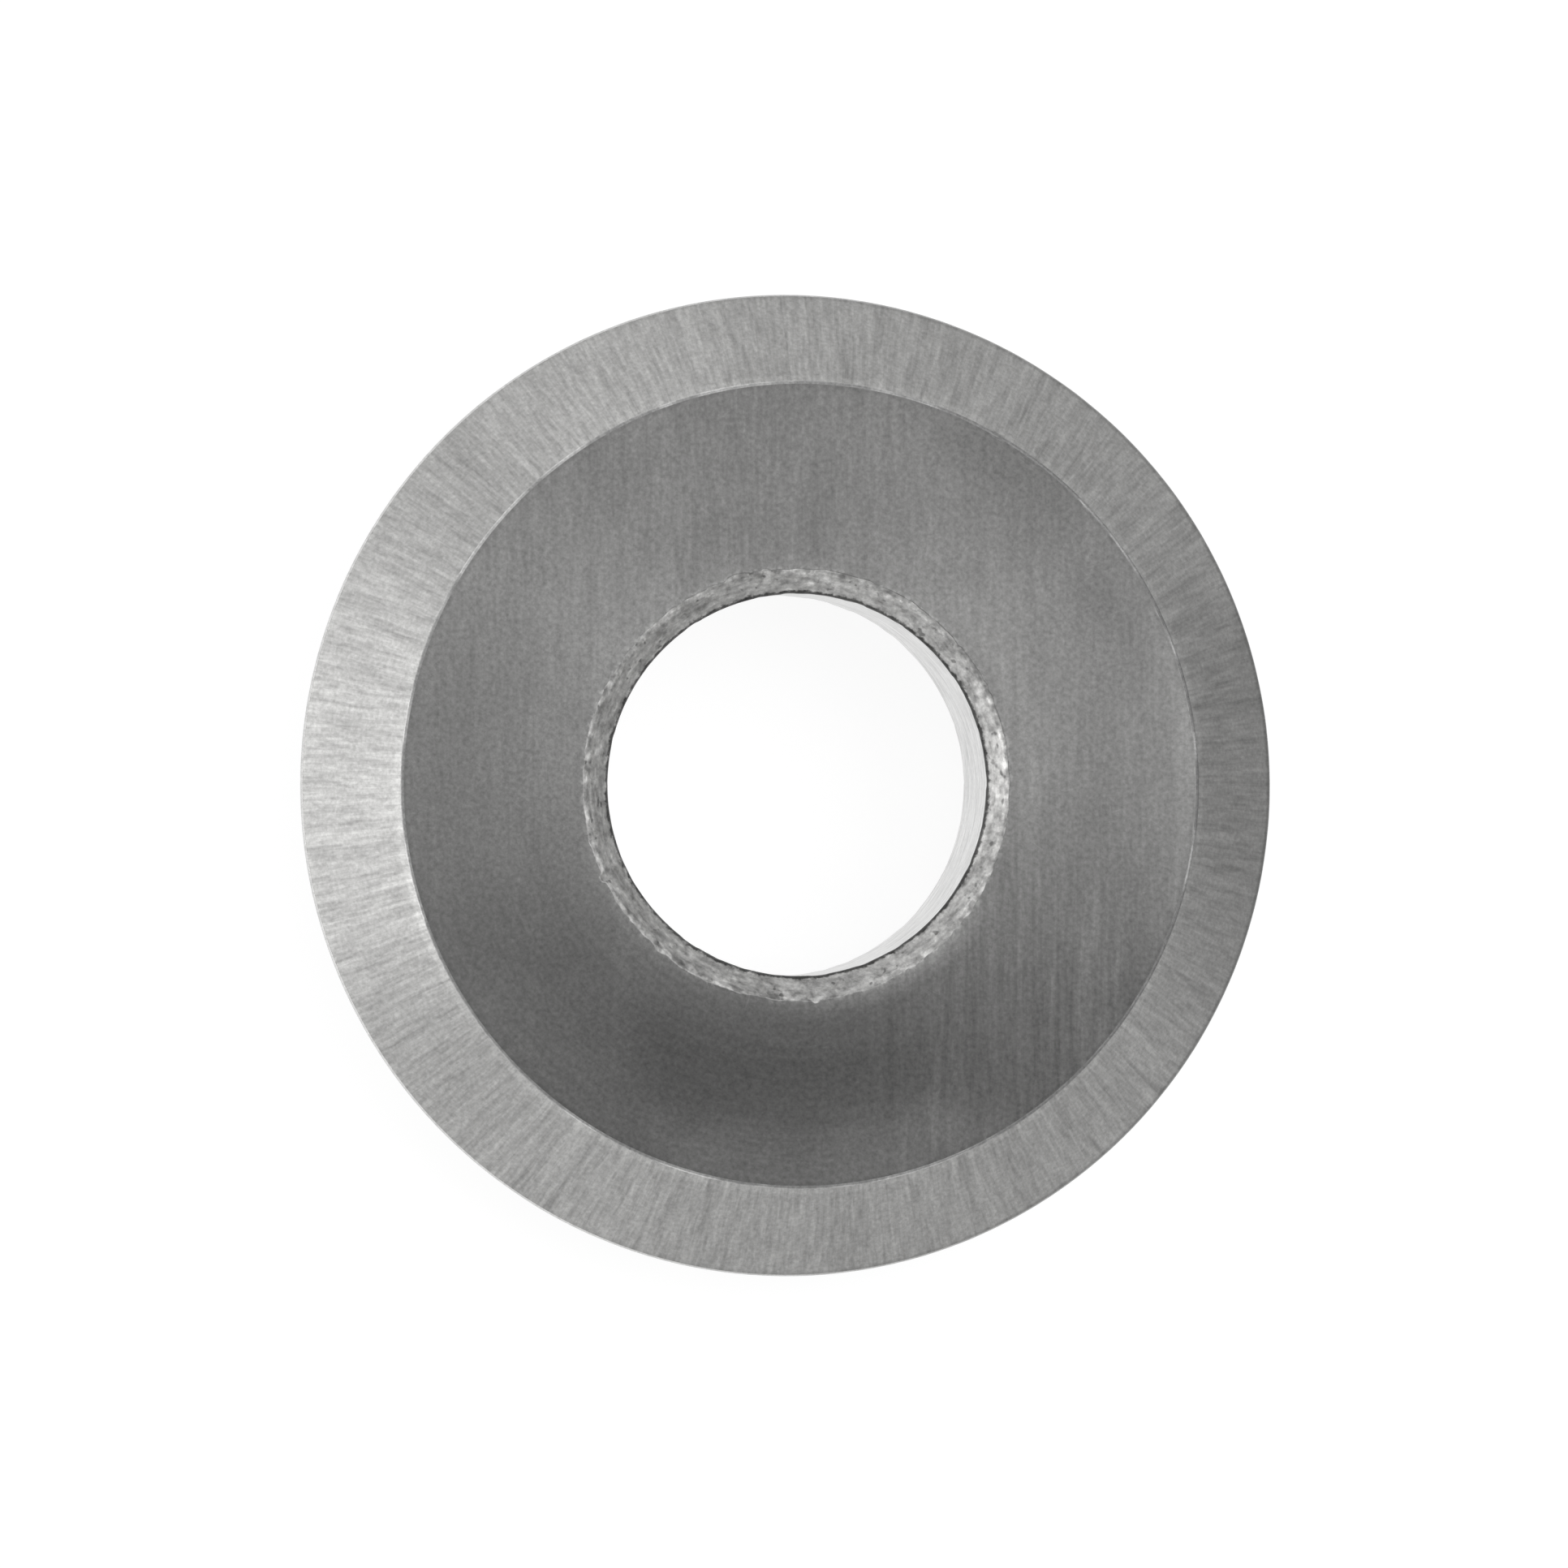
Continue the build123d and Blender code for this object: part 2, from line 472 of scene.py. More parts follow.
class Nodes:
    """Adds nodes to one tree and wires them. A source is a socket or a plain value."""

    def __init__(self, tree):
        self.tree = tree

    def add(self, kind, **settings):
        """A new node, with some of its settings changed."""
        node = self.tree.nodes.new(kind)
        for name, value in settings.items():
            setattr(node, name, value)
        return node

    def feed(self, socket, source):
        """Links a socket to its source, or gives it its value."""
        if isinstance(source, bpy.types.NodeSocket):
            self.tree.links.new(source, socket)
        else:
            socket.default_value = source

    def feed_first(self, node, sources):
        """Feeds a node's first inputs in their order."""
        for socket, source in zip(node.inputs, sources):
            self.feed(socket, source)

    def feed_named(self, node, **sources):
        """Feeds a node's inputs by name, with underscores for spaces, and returns its outputs."""
        for name, source in sources.items():
            self.feed(node.inputs[name.replace("_", " ")], source)
        return node.outputs

    def math(self, operation, *sources):
        node = self.add("ShaderNodeMath", operation=operation)
        self.feed_first(node, sources)
        return node.outputs[0]

    def plus(self, first, second):
        return self.math("ADD", first, second)

    def minus(self, first, second):
        return self.math("SUBTRACT", first, second)

    def times(self, first, second):
        return self.math("MULTIPLY", first, second)

    def vector(self, operation, *sources):
        node = self.add("ShaderNodeVectorMath", operation=operation)
        self.feed_first(node, sources)
        return node.outputs["Value" if operation in ("LENGTH", "DOT_PRODUCT") else "Vector"]

    def scaled(self, vector, factor):
        node = self.add("ShaderNodeVectorMath", operation="SCALE")
        return self.feed_named(node, Vector=vector, Scale=factor)["Vector"]

    def split(self, vector):
        node = self.add("ShaderNodeSeparateXYZ")
        self.feed(node.inputs[0], vector)
        return node.outputs

    def join(self, *parts):
        """A vector of its x, y and z. Those left out are 0."""
        node = self.add("ShaderNodeCombineXYZ")
        self.feed_first(node, parts)
        return node.outputs[0]

    def flat(self, vector):
        """A vector without its part along the wheel's axis."""
        x, y, _ = self.split(vector)
        return self.join(x, y)

    def reach(self, vector):
        """How far a place lies from the wheel's axis."""
        return self.vector("LENGTH", self.flat(vector))

    def way_out(self, vector):
        """The direction from the wheel's axis to a place."""
        return self.vector("NORMALIZE", self.flat(vector))

    def counted(self, vector, length):
        """A place counted in steps of a length."""
        return self.scaled(vector, self.math("DIVIDE", 1.0, length))

    def mapping(self, vector, **changes):
        """Scales a place, then turns it, then moves it."""
        return self.feed_named(self.add("ShaderNodeMapping"), Vector=vector, **changes)["Vector"]

    def noise(self, vector, scale=1.0, detail=2.0, roughness=0.5):
        node = self.add("ShaderNodeTexNoise")
        self.feed_named(node, Vector=vector, Scale=scale, Detail=detail, Roughness=roughness)
        return node.outputs["Fac"]

    def ramp(self, value, low, high, start=0.0, end=1.0):
        """A smooth slope from a start, up to the low value, to an end, from the high one."""
        node = self.add("ShaderNodeMapRange", interpolation_type="SMOOTHSTEP")
        self.feed_named(node, Value=value, From_Min=low, From_Max=high, To_Min=start, To_Max=end)
        return node.outputs[0]

    def fall(self, value, low, high):
        """A ramp that falls from 1 to 0."""
        return self.ramp(value, low, high, start=1.0, end=0.0)

    def soft_step(self, value, edge, softness, start=0.0, end=1.0):
        """A ramp that reaches as far to both sides of its edge as its softness."""
        return self.ramp(value, self.minus(edge, softness), self.plus(edge, softness), start, end)

    def blend(self, factor, first, second):
        node = self.add("ShaderNodeMix", data_type="FLOAT")
        return self.feed_named(node, Factor=factor, A=first, B=second)["Result"]

    def swing(self, pattern, amount, middle=NOISE_MIDDLE):
        """How far a pattern is from its middle, times an amount."""
        return self.times(self.minus(pattern, middle), amount)

    def group(self, tree, **sources):
        """The output of a shared group."""
        return self.feed_named(self.add("ShaderNodeGroup", node_tree=tree), **sources)[0]


def arrange(tree):
    """Lays a tree's nodes out in columns, from its inputs on the left to its output on the right."""
    depth = {node: 0 for node in tree.nodes}
    for _ in tree.nodes:
        for link in tree.links:
            depth[link.from_node] = max(depth[link.from_node], depth[link.to_node] + 1)
    filled = {}
    for node in tree.nodes:
        column = depth[node]
        row = filled.get(column, 0)
        node.location = (-COLUMN_WIDTH * column, -ROW_HEIGHT * row)
        filled[column] = row + 1
    return tree


def new_group(name, inputs, output):
    """An empty shader node group: its nodes, the sockets that it reads and the one that it feeds.

    Each input has its default, and is a vector where that has three parts. The output is a vector
    if it is called so, and a number otherwise."""
    tree = bpy.data.node_groups.new(name, "ShaderNodeTree")
    for socket_name, default in inputs.items():
        kind = "NodeSocketVector" if isinstance(default, tuple) else "NodeSocketFloat"
        socket = tree.interface.new_socket(socket_name, in_out="INPUT", socket_type=kind)
        socket.default_value = default
    kind = "NodeSocketVector" if output == "Vector" else "NodeSocketFloat"
    tree.interface.new_socket(output, in_out="OUTPUT", socket_type=kind)
    nodes = Nodes(tree)
    entry = nodes.add("NodeGroupInput").outputs
    leave = nodes.add("NodeGroupOutput").inputs[output]
    return nodes, entry, leave


# Node groups

FACES_APART = 37.0  # keeps the lines of the upper half from those of the lower one
GRAIN_TURN = (0.52, 0.31, 0.74)  # keeps the noise's own grid off the wheel's axes
BAND_RAGGED_RATE = 9000.0  # changes per metre along the edges of a band
SECTOR_DRIFT_RATE = 300.0  # and of a sector
SECTOR_DRIFT = 0.8  # radians by which the edges of a sector wander
WANDER_STARTS = (ORIGIN, (31.0, 17.0, 5.0))  # of the noise that moves a place along X and along Y

# Longer lines and sparse deep ones: how close and how broken they are, against the fine lines
LONG_LINES = (0.43, 0.43, 0.25)
LONG_LINES_SHARE = 0.4
DEEP_LINES = (0.8, 0.8, 0.09)
DEEP_LINES_START = (5.3, 1.7, 9.1)
DEEP_LINES_DEPTH = 0.3

# Stray scratches, in spacings: one set for each way that they run
SCRATCH_TURNS = (0.35, 1.25, 2.2)
SCRATCH_START = Vector((5.0, 3.0, 0.0))
SCRATCH_STRETCH = (14.0, 0.8, 1.0)
SCRATCH_WIDTH = 0.012
SCRATCH_PARTS_START = Vector((0.0, 7.0, 1.0))
SCRATCH_PARTS_RATE = 1.7
SCRATCH_PARTS_FADE = 0.05


def polar_place_group():
    """Coordinates in which lines that run towards a point, or along the axis, are straight.

    Across tells how many lie round the centre, where the pattern closes on itself without a seam."""
    nodes, entry, leave = new_group(
        "Polar Place",
        {"Vector": ORIGIN, "Centre X": 0.0, "Across": 100.0, "Outwards": 1000.0, "Upwards": 0.0},
        "Vector")
    moved = nodes.vector("SUBTRACT", entry["Vector"], nodes.join(entry["Centre X"]))
    way_x, way_y, _ = nodes.split(nodes.scaled(nodes.way_out(moved), entry["Across"]))
    height = nodes.split(moved)[2]
    outwards = nodes.times(nodes.reach(moved), entry["Outwards"])
    upwards = nodes.times(height, entry["Upwards"])
    apart = nodes.times(nodes.math("SIGN", height), FACES_APART)
    along = nodes.plus(nodes.plus(outwards, upwards), apart)
    nodes.feed(leave, nodes.join(way_x, way_y, along))
    return arrange(nodes.tree)


def grinding_lines_group():
    """Fine lines that a grinding wheel leaves, in a place whose lines run along Z."""
    nodes, entry, leave = new_group("Grinding Lines", {"Vector": ORIGIN, "Deep Lines": 0.5}, "Tone")
    fine = nodes.noise(entry["Vector"], detail=3.0, roughness=0.62)
    long = nodes.noise(nodes.vector("MULTIPLY", entry["Vector"], LONG_LINES))
    deep_place = nodes.vector("MULTIPLY", entry["Vector"], DEEP_LINES)
    deep_noise = nodes.noise(nodes.vector("ADD", deep_place, DEEP_LINES_START), detail=1.0)
    deep = nodes.times(nodes.fall(deep_noise, low=0.26, high=0.46), entry["Deep Lines"])
    lines = nodes.blend(LONG_LINES_SHARE, fine, long)
    nodes.feed(leave, nodes.minus(lines, nodes.times(deep, DEEP_LINES_DEPTH)))
    return arrange(nodes.tree)


def carbide_grain_group():
    """The fine mottle of the carbide itself and of its cobalt binder."""
    nodes, entry, leave = new_group("Carbide Grain", {"Vector": ORIGIN, "Size": 0.06 * MM}, "Tone")
    turned = nodes.mapping(entry["Vector"], Rotation=GRAIN_TURN)
    nodes.feed(leave, nodes.noise(nodes.counted(turned, entry["Size"]), detail=3.0, roughness=0.65))
    return arrange(nodes.tree)


def soft_mottle_group():
    """Larger soft blotches, so many to the metre."""
    nodes, entry, leave = new_group(
        "Soft Mottle", {"Vector": ORIGIN, "Rate": 1000.0, "Detail": 2.0}, "Tone")
    turned = nodes.mapping(entry["Vector"], Rotation=GRAIN_TURN)
    nodes.feed(leave, nodes.noise(turned, scale=entry["Rate"], detail=entry["Detail"]))
    return arrange(nodes.tree)


def ring_band_group():
    """A soft-edged band round the wheel's axis: 1 inside it and 0 outside."""
    nodes, entry, leave = new_group(
        "Ring Band",
        {"Vector": ORIGIN, "Inner": 0.0, "Outer": 8 * MM, "Softness": 0.02 * MM, "Ragged": 0.0}, "Mask")
    ragged = nodes.noise(entry["Vector"], scale=BAND_RAGGED_RATE, detail=1.0)
    reach = nodes.plus(nodes.reach(entry["Vector"]), nodes.swing(ragged, entry["Ragged"]))
    beyond_inner = nodes.soft_step(reach, entry["Inner"], entry["Softness"])
    before_outer = nodes.soft_step(reach, entry["Outer"], entry["Softness"], start=1.0, end=0.0)
    nodes.feed(leave, nodes.times(beyond_inner, before_outer))
    return arrange(nodes.tree)


def sector_group():
    """A soft-edged sector round the wheel's axis: 1 along its middle way and 0 outside.

    Half Width and Softness are angles, and the way is a unit vector."""
    nodes, entry, leave = new_group(
        "Sector", {"Vector": ORIGIN, "Way": X_AXIS, "Half Width": 0.5, "Softness": 0.3}, "Mask")
    turn = nodes.vector("DOT_PRODUCT", nodes.way_out(entry["Vector"]), entry["Way"])
    drift = nodes.swing(nodes.noise(entry["Vector"], scale=SECTOR_DRIFT_RATE), SECTOR_DRIFT)
    angle = nodes.plus(nodes.math("ARCCOSINE", turn), drift)
    mask = nodes.soft_step(angle, entry["Half Width"], entry["Softness"], start=1.0, end=0.0)
    nodes.feed(leave, mask)
    return arrange(nodes.tree)


def painted_light_round_group():
    """Painted light and shade: how much lighter a surface is painted in one direction from the axis than
    in another.

    Lean is the change along a way, and Fold is how far the X axis is lighter than the Y axis."""
    nodes, entry, leave = new_group(
        "Painted Light Round", {"Vector": ORIGIN, "Lean": ORIGIN, "Fold": 0.0}, "Tone")
    way = nodes.way_out(entry["Vector"])
    x, y, _ = nodes.split(way)
    folded = nodes.minus(nodes.times(x, x), nodes.times(y, y))
    lean = nodes.vector("DOT_PRODUCT", way, entry["Lean"])
    nodes.feed(leave, nodes.plus(lean, nodes.times(folded, entry["Fold"])))
    return arrange(nodes.tree)


def wandering_place_group():
    """Coordinates that stray a little, so that lines laid out in them aren't quite straight."""
    nodes, entry, leave = new_group(
        "Wandering Place", {"Vector": ORIGIN, "Stray": 0.05 * MM, "Length": 0.6 * MM}, "Vector")
    place = nodes.counted(entry["Vector"], entry["Length"])
    both_ways = nodes.times(entry["Stray"], 2.0)
    strays = []
    for start in WANDER_STARTS:
        stray = nodes.noise(nodes.vector("ADD", place, start), detail=1.0)
        strays.append(nodes.swing(stray, both_ways))
    nodes.feed(leave, nodes.vector("ADD", entry["Vector"], nodes.join(*strays)))
    return arrange(nodes.tree)


def stray_scratches_group():
    """A few hair-thin scratches from handling, running every way."""
    nodes, entry, leave = new_group(
        "Stray Scratches", {"Vector": ORIGIN, "Spacing": 1.2 * MM, "Rarity": 0.6}, "Mask")
    place = nodes.counted(entry["Vector"], entry["Spacing"])
    mask = 0.0
    for turn in SCRATCH_TURNS:
        turned = nodes.mapping(place, Location=SCRATCH_START * turn, Rotation=(0.0, 0.0, turn))
        lines = nodes.noise(nodes.mapping(turned, Scale=SCRATCH_STRETCH), detail=0.0)
        line = nodes.math("ABSOLUTE", nodes.minus(lines, NOISE_MIDDLE))
        thin = nodes.fall(line, low=0.0, high=SCRATCH_WIDTH)
        parts_place = nodes.mapping(place, Location=SCRATCH_PARTS_START * turn)
        parts = nodes.noise(parts_place, scale=SCRATCH_PARTS_RATE, detail=0.0)
        common = nodes.plus(entry["Rarity"], SCRATCH_PARTS_FADE)
        here = nodes.ramp(parts, low=entry["Rarity"], high=common)
        mask = nodes.math("MAXIMUM", mask, nodes.times(thin, here))
    nodes.feed(leave, mask)
    return arrange(nodes.tree)


# Finishes

MICRON = 0.001 * MM

# The side's lines: changes per metre across them, across them again and along them
STRAIGHT_LINES = (12500.0, 2500.0, 1500.0)
TURNED_LINES = (12500.0, 0.0, 1500.0)
LINES_CONTRAST = 0.58
PLAINEST_CONTRAST = 1.12
PLAIN_CONTRAST = 0.28  # on top of the lines' own

# The few stronger lines among them: changes per metre across them and along them
SINGLE_LINES = (4200.0, 170.0, 0.0)
SINGLE_TURN = (0.0, 0.0, radians(3.5))  # how far they are turned from the rest
SINGLE_LEAST = 0.25  # how strong they are away from where the lines are plainest

# The side's tone and its painted light and shade, in millimetres
SIDE_CROWN = radians(3.0)  # the ground side mirrors the studio as if it fell away from the bore by this
PAINTED_CLOUD_START = 0.8  # from the lip outwards, where the painted clouds of light and shade begin to change
LIP_PAINTED_GLOW_WIDTH = 1.2  # of the painted light beside the lip
SHOULDER_SIDE_PAINTED_LIGHT_WIDTH = 0.7  # of the painted light beside the shoulder

# The other surfaces
BURNISH_LEAST = 0.1  # how much of the burnish is left in the unburnished part
SINTERED_GRAIN = 0.12 * MM  # size of the furnace skin's coarse grain, and of the pits in it
PIT_START = (7.0, 3.0, 1.0)
LIP_STRAY = 0.3  # how far the chamfer's painted highlight line and painted shade line stray, as a share of its width
# how much the painted highlight along the lip is dimmed in one part
LIP_HIGHLIGHT_DIMMING = 0.25

# Parts of a surface by direction: angle from +X, half width and softness, in radians
# painted shade on the bevel towards +X
BEVEL_PAINTED_SHADE_PART = (radians(0), 0.45, 0.35)
UNBURNISHED_PART = (radians(147), 0.6, 0.35)
TURNED_PART = (radians(-118), 0.75, 0.35)  # where the side's lines run round the bore
PLAINEST_PART = (radians(-45), 0.6, 0.4)  # where they are plainest
PLAIN_PART = (radians(105), 0.45, 0.35)  # and where they are next to that
SHADED_PART = (radians(-102), 0.75, 0.35)
# where the side has painted light beside the shoulder
SHOULDER_SIDE_PAINTED_LIGHT_PART = (radians(8), 0.45, 0.3)
# where the painted highlight along the lip is dimmer
LIP_DIMMER_HIGHLIGHT_PART = (radians(-127), 0.7, 0.3)
PALE_PARTS = tuple((radians(angle), 0.25, 0.25) for angle in (0, -47, -122))  # of the sintered skin

# Bands round the axis, in mm: start, end, softness and raggedness
BURNISHED_BAND = (-0.2, 0.09, 0.03, 0.05)  # counted from the bevel's start
RIM_BAND = (-0.04, 0.5, 0.03, 0.03)  # from the bevel's end
SHOULDER_BAND = (-0.05, 1.0, 0.03, 0.04)  # from the side's end
SHADED_BAND = (4.3, 5.7, 0.5, 0.0)  # from the axis

# Painted light and shade round the axis: how it leans along X, Y and Z, and how far X is lighter than Y
SIDE_PAINTED_LIGHT = ((-0.12, 0.06, 0.0), 0.19)
RIM_PAINTED_LIGHT = ((1.4, 0.0, 0.0), 0.0)
SINTERED_PAINTED_LIGHT = ((-0.05, 0.074, 0.0), 0.0)
LIP_LINE_PAINTED_LIGHT = ((0.06, 0.0, 0.0), 0.08)
SHOULDER_PAINTED_LIGHT = ((-0.3, -0.08, 0.0), -0.1)
TIP_PAINTED_LIGHT = ((-0.59, -0.05, 0.0), -0.09)

# Soft clouds of painted light and shade on the side: angle from +X, half width, change beside the bore,
# change by the shoulder
SIDE_PAINTED_CLOUDS = (
    (radians(-34), 0.3, 0.0, -0.27),
    (radians(44), 0.42, 0.0, -0.22),
    (radians(180), 0.25, 0.0, -0.13),
    (radians(-83), 0.28, 0.08, 0.56),
    (radians(105), 0.5, 0.1, 0.0),
)
# Soft clouds of painted light and shade on the side along the lip: angle from +X, half width, change
LIP_PAINTED_CLOUDS = (
    (radians(-62), 0.5, 0.42),
    (radians(-95), 1.1, 0.22),
    (radians(22), 0.5, -0.15),
)
# softness of the painted clouds of light and shade
PAINTED_CLOUD_SOFTNESS = 0.28


class FinishKit:
    """What all finishes are made with: the wheel's section, its colours and the node groups."""

    def __init__(self, section, colours):
        self.section = section
        self.colours = colours
        self.polar = polar_place_group()
        self.lines = grinding_lines_group()
        self.grain = carbide_grain_group()
        self.mottle = soft_mottle_group()
        self.band = ring_band_group()
        self.sector = sector_group()
        self.painted_light = painted_light_round_group()
        self.wander = wandering_place_group()
        self.scratches = stray_scratches_group()


class Finish:
    """A metal material whose tone, roughness and bump are fed by patterns."""

    def __init__(self, name, kit, tone, roughness):
        self.material = bpy.data.materials.new(name)
        self.material.use_nodes = True
        self.material.diffuse_color = (*tone, 1.0)
        self.nodes = Nodes(self.material.node_tree)
        self.shader = self.material.node_tree.nodes["Principled BSDF"]
        self.shader.inputs["Metallic"].default_value = 1.0
        self.kit = kit
        self.tone = tuple(tone)
        self.roughness = roughness
        self.shade = 1.0
        self.place = self.nodes.add("ShaderNodeTexCoord").outputs["Object"]

    def pattern(self, group, place=None, **inputs):
        """What a shared group gives at the wheel's own place, or at another one."""
        return self.nodes.group(group, Vector=self.place if place is None else place, **inputs)

    def mottle(self, rate, detail):
        """Soft blotches, so many to the metre."""
        return self.pattern(self.kit.mottle, Rate=rate, Detail=detail)

    def sector(self, angle, half_width, softness):
        """1 in one part of the surface by direction, and 0 in the others."""
        way = (cos(angle), sin(angle), 0.0)
        return self.pattern(self.kit.sector, Way=way, Half_Width=half_width, Softness=softness)

    def band(self, zero, start, end, softness, ragged):
        """1 in a ring of the surface, and 0 elsewhere. Start and end are counted from zero, in mm."""
        return self.pattern(
            self.kit.band, Inner=(zero + start) * MM, Outer=(zero + end) * MM, Softness=softness * MM,
            Ragged=ragged * MM)

    def painted_light(self, lean, fold):
        """Painted light and shade round the axis."""
        return self.pattern(self.kit.painted_light, Lean=lean, Fold=fold)

    def chamfer_place(self):
        """0 at the bore's wall, 1 at the chamfer's lip and more on the side."""
        return self.nodes.add("ShaderNodeAttribute", attribute_name=CHAMFER_PLACE).outputs["Fac"]

    def brush_radially(self, anisotropy):
        """Spreads the gloss across lines that run from the axis outwards."""
        self.shader.inputs["Anisotropic"].default_value = anisotropy
        tangent = self.nodes.add("ShaderNodeTangent", direction_type="RADIAL", axis="Z")
        self.nodes.feed(self.shader.inputs["Tangent"], tangent.outputs[0])

    def brush_along_y(self, anisotropy):
        """Spreads the gloss across lines that run along the wheel's Y axis."""
        self.shader.inputs["Anisotropic"].default_value = anisotropy
        across = self.nodes.add(
            "ShaderNodeVectorTransform", vector_type="VECTOR", convert_from="OBJECT", convert_to="WORLD")
        self.nodes.feed(across.inputs[0], X_AXIS)
        self.nodes.feed(self.shader.inputs["Tangent"], across.outputs[0])

    def lighten(self, change):
        """Lightens the tone by a share of itself, or darkens it where the change is below 0."""
        self.shade = self.nodes.times(self.shade, self.nodes.plus(change, 1.0))

    def vary_tone(self, pattern, contrast, middle=NOISE_MIDDLE):
        """Lightens and darkens the surface about the pattern's middle."""
        self.lighten(self.nodes.swing(pattern, contrast, middle))

    def tint(self, mask, change):
        """Lightens or darkens what a mask covers."""
        self.lighten(self.nodes.times(mask, change))

    def vary_roughness(self, pattern, amount):
        """Roughens and smooths the surface about the pattern's middle."""
        self.roughness = self.nodes.plus(self.roughness, self.nodes.swing(pattern, amount))

    def roughen(self, mask, amount):
        """Roughens or smooths what a mask covers."""
        self.roughness = self.nodes.plus(self.roughness, self.nodes.times(mask, amount))

    def bump(self, height, depth):
        """Raises the surface by the pattern's height times a depth in metres."""
        node = self.nodes.add("ShaderNodeBump")
        normal = self.shader.inputs["Normal"]
        self.nodes.feed_named(node, Distance=depth, Height=height)
        if normal.links:
            self.nodes.feed(node.inputs["Normal"], normal.links[0].from_socket)
        self.nodes.feed(normal, node.outputs[0])

    def done(self):
        """Wires tone and roughness into the shader, and returns the material."""
        self.nodes.feed(self.shader.inputs["Base Color"], self.nodes.scaled(self.tone, self.shade))
        self.nodes.feed(self.shader.inputs["Roughness"], self.roughness)
        arrange(self.material.node_tree)
        return self.material


def ground_bevel(kit):
    """Radial grinding lines, with painted shade towards +X, a burnished band beside the shoulder and a
    dark band by the tip, with painted shade towards +X and painted light towards -X.
    """
    look = Finish("ground_bevel", kit, kit.colours.bevel_tone, roughness=0.34)
    look.brush_radially(anisotropy=0.55)
    nodes = look.nodes
    strayed = look.pattern(kit.wander, Stray=0.03 * MM, Length=1.0 * MM)
    polar = look.pattern(kit.polar, strayed, Centre_X=-0.35 * MM, Across=112.0, Outwards=2900.0)
    lines = look.pattern(kit.lines, polar, Deep_Lines=0.2)
    grain = look.pattern(kit.grain, Size=0.07 * MM)
    look.vary_tone(lines, contrast=1.35)
    look.vary_tone(grain, contrast=0.85)
    look.vary_tone(nodes.noise(look.place, scale=420.0), contrast=0.16)
    # painted shade towards +X
    look.tint(look.sector(*BEVEL_PAINTED_SHADE_PART), change=-0.32)

    burnished = look.band(kit.section.bevel_start, *BURNISHED_BAND)
    burnish = nodes.times(burnished, nodes.blend(look.sector(*UNBURNISHED_PART), 1.0, BURNISH_LEAST))
    look.tint(burnish, change=0.1)
    rim = look.band(kit.section.bevel_end, *RIM_BAND)
    # dark band by the tip, deepened by painted shade towards +X and lightened by painted light towards
    # -X
    look.tint(nodes.times(rim, nodes.plus(look.painted_light(*RIM_PAINTED_LIGHT), 1.0)), change=-0.14)

    look.vary_roughness(lines, amount=-0.12)
    look.roughen(burnish, amount=-0.05)
    look.bump(lines, depth=0.9 * MICRON)
    look.bump(grain, depth=0.25 * MICRON)
    return look.done()


def ground_side(kit):
    """A dull side, with straight lines from surface grinding and soft uneven tone."""
    look = Finish("ground_side", kit, kit.colours.side_tone, roughness=0.3)
    look.brush_along_y(anisotropy=0.7)
    reach = look.nodes.reach(look.place)
    look.bump(look.nodes.times(reach, -1.0), depth=tan(SIDE_CROWN))
    lines = side_lines(look, reach)
    grain = look.pattern(kit.grain, Size=0.075 * MM)
    look.vary_tone(grain, contrast=1.0)
    look.vary_tone(look.mottle(rate=330.0, detail=3.0), contrast=0.55)
    side_painted_clouds(look, reach)
    look.tint(look.pattern(kit.scratches), change=0.12)
    side_by_shoulder(look, reach)
    side_by_lip(look)
    look.vary_roughness(lines, amount=-0.08)
    look.bump(lines, depth=0.4 * MICRON)
    look.bump(grain, depth=0.35 * MICRON)
    return look.done()


def side_lines(look, reach):
    """Lines that run along Y, but round the bore in one part, and a few stronger ones among them."""
    nodes = look.nodes
    x, y, _ = nodes.split(look.place)
    straight_place = nodes.vector("MULTIPLY", nodes.join(x, x, y), STRAIGHT_LINES)
    turned_place = nodes.vector("MULTIPLY", nodes.join(reach, 0.0, x), TURNED_LINES)
    straight = look.pattern(look.kit.lines, straight_place, Deep_Lines=0.25)
    turned = look.pattern(look.kit.lines, turned_place, Deep_Lines=0.25)
    lines = nodes.blend(look.sector(*TURNED_PART), straight, turned)
    plainest = look.sector(*PLAINEST_PART)
    plain = nodes.times(look.sector(*PLAIN_PART), PLAIN_CONTRAST)
    contrast = nodes.plus(nodes.blend(plainest, LINES_CONTRAST, PLAINEST_CONTRAST), plain)
    look.vary_tone(lines, contrast)

    single_place = nodes.mapping(nodes.mapping(look.place, Rotation=SINGLE_TURN), Scale=SINGLE_LINES)
    singles = nodes.ramp(nodes.noise(single_place, detail=1.0), low=0.6, high=0.7)
    look.tint(nodes.times(singles, nodes.blend(plainest, SINGLE_LEAST, 1.0)), change=0.17)
    return lines


